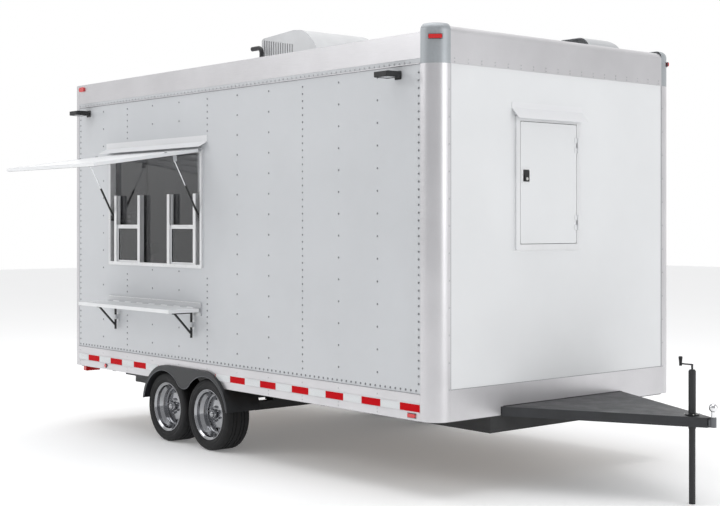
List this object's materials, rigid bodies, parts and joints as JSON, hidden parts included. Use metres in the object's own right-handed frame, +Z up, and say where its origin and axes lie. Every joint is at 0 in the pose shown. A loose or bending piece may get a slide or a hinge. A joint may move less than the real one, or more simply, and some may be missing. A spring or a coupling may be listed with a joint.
{
  "type": "concession trailer",
  "caption": "White box-bodied tandem-axle concession trailer with an open serving hatch, glazed sash window, folding shelf, rooftop air conditioner, front door and a tongue with ball and jack.",
  "frame": {"origin": "middle of the whole trailer's footprint, with its hatch open, on the ground", "axes": "+X forward to the tow ball, +Y to the road side (away from the serving window), +Z up"},
  "size_m": [6.2434, 3.6268, 3.514],
  "materials": {
    "side_panel": "white enamel, satin",
    "front_panel": "white enamel, gloss",
    "rear_panel": "white enamel, satin",
    "rail_metal": "mill finish, satin",
    "casting_metal": "cast, matte",
    "roof_metal": "white enamel, satin",
    "frame_steel": "black enamel, satin",
    "tongue_steel": "charcoal enamel, satin",
    "hitch_steel": "worn grey",
    "jack_steel": "black enamel, satin",
    "crank_steel": "zinc, satin",
    "floor_wood": "plywood under sheet, matte",
    "lining": "matte",
    "tank_plastic": "matte",
    "lamp_lens": "red lens, gloss",
    "frame_aluminium": "satin",
    "clear_glass": "clear",
    "trim_white": "white enamel, satin",
    "hinge_metal": "satin",
    "hatch_white": "white enamel, gloss",
    "strut_black": "black, gloss",
    "strut_chrome": "polished",
    "shelf_white": "white enamel, gloss",
    "cleat_metal": "satin",
    "bracket_black": "black, satin",
    "flood_black": "black, matte",
    "shroud_white": "satin",
    "vent_grey": "satin",
    "pipe_plastic": "matte",
    "tyre_rubber": "matte",
    "rim_metal": "machined, gloss",
    "door_white": "white enamel, gloss",
    "latch_black": "black, satin",
    "latch_chrome": "polished"
  },
  "bodies": {
    "trailer": {"ac_unit": "shroud_white", "axle_tubes": "frame_steel", "chassis_frame": "frame_steel", "corner_castings": "casting_metal", "corner_posts": "rail_metal", "curb_wall": "side_panel", "door_frames": "frame_aluminium", "drip_caps": "trim_white", "fenders": "tongue_steel", "flood_mounts": "flood_black", "floor_deck": "floor_wood", "front_wall": "front_panel", "hatch_hinge": "hinge_metal", "inner_lining": "lining", "jack_tube": "jack_steel", "lamps": "lamp_lens", "rear_wall": "rear_panel", "road_wall": "side_panel", "roof_skin": "roof_metal", "shelf_cleat": "cleat_metal", "sill_rails": "rail_metal", "strut_feet": "strut_black", "tongue_frame": "tongue_steel", "top_rails": "rail_metal", "tow_hitch": "hitch_steel", "vent_base": "vent_grey", "vent_pipe": "pipe_plastic", "water_tank": "tank_plastic", "window_frame": "frame_aluminium", "window_glass": "clear_glass"},
    "hatch": {"hatch_panel": "hatch_white", "hatch_hardware": "hinge_metal"},
    "strut_cylinders": {"strut_cylinders": "strut_black"},
    "strut_rods": {"strut_rods": "strut_chrome"},
    "sash_front": {"sash_front": "frame_aluminium"},
    "sash_rear": {"sash_rear": "frame_aluminium"},
    "shelf": {"shelf_board": "shelf_white"},
    "bracket_front": {"shelf_bracket_front": "bracket_black"},
    "bracket_rear": {"shelf_bracket_rear": "bracket_black"},
    "front_door": {"front_door": "door_white"},
    "front_latch": {"front_latch": "latch_black"},
    "rear_door": {"rear_door": "door_white"},
    "rear_latch": {"rear_latch": "latch_chrome"},
    "flood_front": {"flood_head_front": "flood_black"},
    "flood_rear": {"flood_head_rear": "flood_black"},
    "vent_lid": {"vent_lid": "vent_grey"},
    "arm_front_curb": {"arm_front_curb": "frame_steel"},
    "wheel_front_curb": {"tyre_front_curb": "tyre_rubber", "rim_front_curb": "rim_metal"},
    "arm_rear_curb": {"arm_rear_curb": "frame_steel"},
    "wheel_rear_curb": {"tyre_rear_curb": "tyre_rubber", "rim_rear_curb": "rim_metal"},
    "arm_front_road": {"arm_front_road": "frame_steel"},
    "wheel_front_road": {"tyre_front_road": "tyre_rubber", "rim_front_road": "rim_metal"},
    "arm_rear_road": {"arm_rear_road": "frame_steel"},
    "wheel_rear_road": {"tyre_rear_road": "tyre_rubber", "rim_rear_road": "rim_metal"},
    "jack_leg": {"jack_leg": "jack_steel"},
    "jack_crank": {"jack_crank": "crank_steel"}
  },
  "joints": [
    {"name": "hatch_hinge", "type": "hinge", "parent": "trailer", "child": "hatch", "pos_m": [-1.69667, -0.83157, 2.455], "axis": [1, 0, 0], "range_deg": [0, 81.6]},
    {"name": "strut_pivot", "type": "hinge", "parent": "trailer", "child": "strut_cylinders", "pos_m": [-1.69667, -0.79957, 1.907], "axis": [1, 0, 0], "range_deg": [-31, 0]},
    {"name": "strut_stroke", "type": "slide", "parent": "strut_cylinders", "child": "strut_rods", "axis": [0, -0.4603, 0.8878], "range_m": [-0.198, 0]},
    {"name": "sash_front_lift", "type": "slide", "parent": "trailer", "child": "sash_front", "axis": [0, 0, 1], "range_m": [0, 0.25]},
    {"name": "sash_rear_lift", "type": "slide", "parent": "trailer", "child": "sash_rear", "axis": [0, 0, 1], "range_m": [0, 0.25]},
    {"name": "shelf_hinge", "type": "hinge", "parent": "trailer", "child": "shelf", "pos_m": [-1.69667, -0.82357, 1.162], "axis": [-1, 0, 0], "range_deg": [0, 90]},
    {"name": "bracket_front_fold", "type": "hinge", "parent": "trailer", "child": "bracket_front", "pos_m": [-1.07668, -0.83157, 1], "axis": [0, 0, -1], "range_deg": [0, 90]},
    {"name": "bracket_rear_fold", "type": "hinge", "parent": "trailer", "child": "bracket_rear", "pos_m": [-2.30667, -0.83157, 1], "axis": [0, 0, 1], "range_deg": [0, 90]},
    {"name": "front_door_hinge", "type": "hinge", "parent": "trailer", "child": "front_door", "pos_m": [1.83753, 0.62093, 2.148], "axis": [0, 0, 1], "range_deg": [0, 110]},
    {"name": "front_latch_lift", "type": "hinge", "parent": "front_door", "child": "front_latch", "pos_m": [1.83383, 0.06793, 2.239], "axis": [0, -1, 0], "range_deg": [0, 40], "stiffness_Nm_per_rad": 0.5, "springref_deg": -11.46},
    {"name": "rear_door_hinge", "type": "hinge", "parent": "trailer", "child": "rear_door", "pos_m": [-3.08487, 0.50643, 1.698], "axis": [0, 0, 1], "range_deg": [0, 110]},
    {"name": "rear_latch_turn", "type": "hinge", "parent": "rear_door", "child": "rear_latch", "pos_m": [-3.08487, 1.25843, 1.648], "axis": [1, 0, 0], "range_deg": [0, 45], "stiffness_Nm_per_rad": 1.5, "springref_deg": -11.46},
    {"name": "flood_front_tilt", "type": "hinge", "parent": "trailer", "child": "flood_front", "pos_m": [1.44833, -0.83257, 2.875], "axis": [1, 0, 0], "range_deg": [-30, 45]},
    {"name": "flood_rear_tilt", "type": "hinge", "parent": "trailer", "child": "flood_rear", "pos_m": [-2.83867, -0.83257, 2.875], "axis": [1, 0, 0], "range_deg": [-30, 45]},
    {"name": "vent_lid_hinge", "type": "hinge", "parent": "trailer", "child": "vent_lid", "pos_m": [1.12633, 1.32843, 3.23], "axis": [0, -1, 0], "range_deg": [0, 60]},
    {"name": "arm_front_curb_pivot", "type": "hinge", "parent": "trailer", "child": "arm_front_curb", "pos_m": [-0.74409, -0.46157, 0.3504], "axis": [0, 1, 0], "range_deg": [-10, 18], "stiffness_Nm_per_rad": 6000, "springref_deg": -3.95},
    {"name": "arm_rear_curb_pivot", "type": "hinge", "parent": "trailer", "child": "arm_rear_curb", "pos_m": [-1.36509, -0.46157, 0.3504], "axis": [0, 1, 0], "range_deg": [-10, 18], "stiffness_Nm_per_rad": 6000, "springref_deg": -3.95},
    {"name": "arm_front_road_pivot", "type": "hinge", "parent": "trailer", "child": "arm_front_road", "pos_m": [-0.74409, 1.43843, 0.3504], "axis": [0, 1, 0], "range_deg": [-10, 18], "stiffness_Nm_per_rad": 6000, "springref_deg": -3.95},
    {"name": "arm_rear_road_pivot", "type": "hinge", "parent": "trailer", "child": "arm_rear_road", "pos_m": [-1.36509, 1.43843, 0.3504], "axis": [0, 1, 0], "range_deg": [-10, 18], "stiffness_Nm_per_rad": 6000, "springref_deg": -3.95},
    {"name": "wheel_front_curb_spin", "type": "hinge", "parent": "arm_front_curb", "child": "wheel_front_curb", "pos_m": [-0.88267, -0.69157, 0.293], "axis": [0, 1, 0], "continuous": true},
    {"name": "wheel_rear_curb_spin", "type": "hinge", "parent": "arm_rear_curb", "child": "wheel_rear_curb", "pos_m": [-1.50368, -0.69157, 0.293], "axis": [0, 1, 0], "continuous": true},
    {"name": "wheel_front_road_spin", "type": "hinge", "parent": "arm_front_road", "child": "wheel_front_road", "pos_m": [-0.88267, 1.66843, 0.293], "axis": [0, 1, 0], "continuous": true},
    {"name": "wheel_rear_road_spin", "type": "hinge", "parent": "arm_rear_road", "child": "wheel_rear_road", "pos_m": [-1.50368, 1.66843, 0.293], "axis": [0, 1, 0], "continuous": true},
    {"name": "jack_crank_turn", "type": "hinge", "parent": "trailer", "child": "jack_crank", "pos_m": [2.92632, 0.48843, 0.9], "axis": [0, 0, 1], "range_deg": [0, 23760]},
    {"name": "jack_leg_slide", "type": "slide", "parent": "trailer", "child": "jack_leg", "axis": [0, 0, 1], "range_m": [0, 0.331]}
  ],
  "couplings": [
    {"joint": "strut_pivot", "follows": "hatch_hinge", "ratio": -0.37427},
    {"joint": "strut_stroke", "follows": "hatch_hinge", "m_per_rad": -0.13793},
    {"joint": "jack_leg_slide", "follows": "jack_crank_turn", "m_per_rad": 0.00079577}
  ]
}
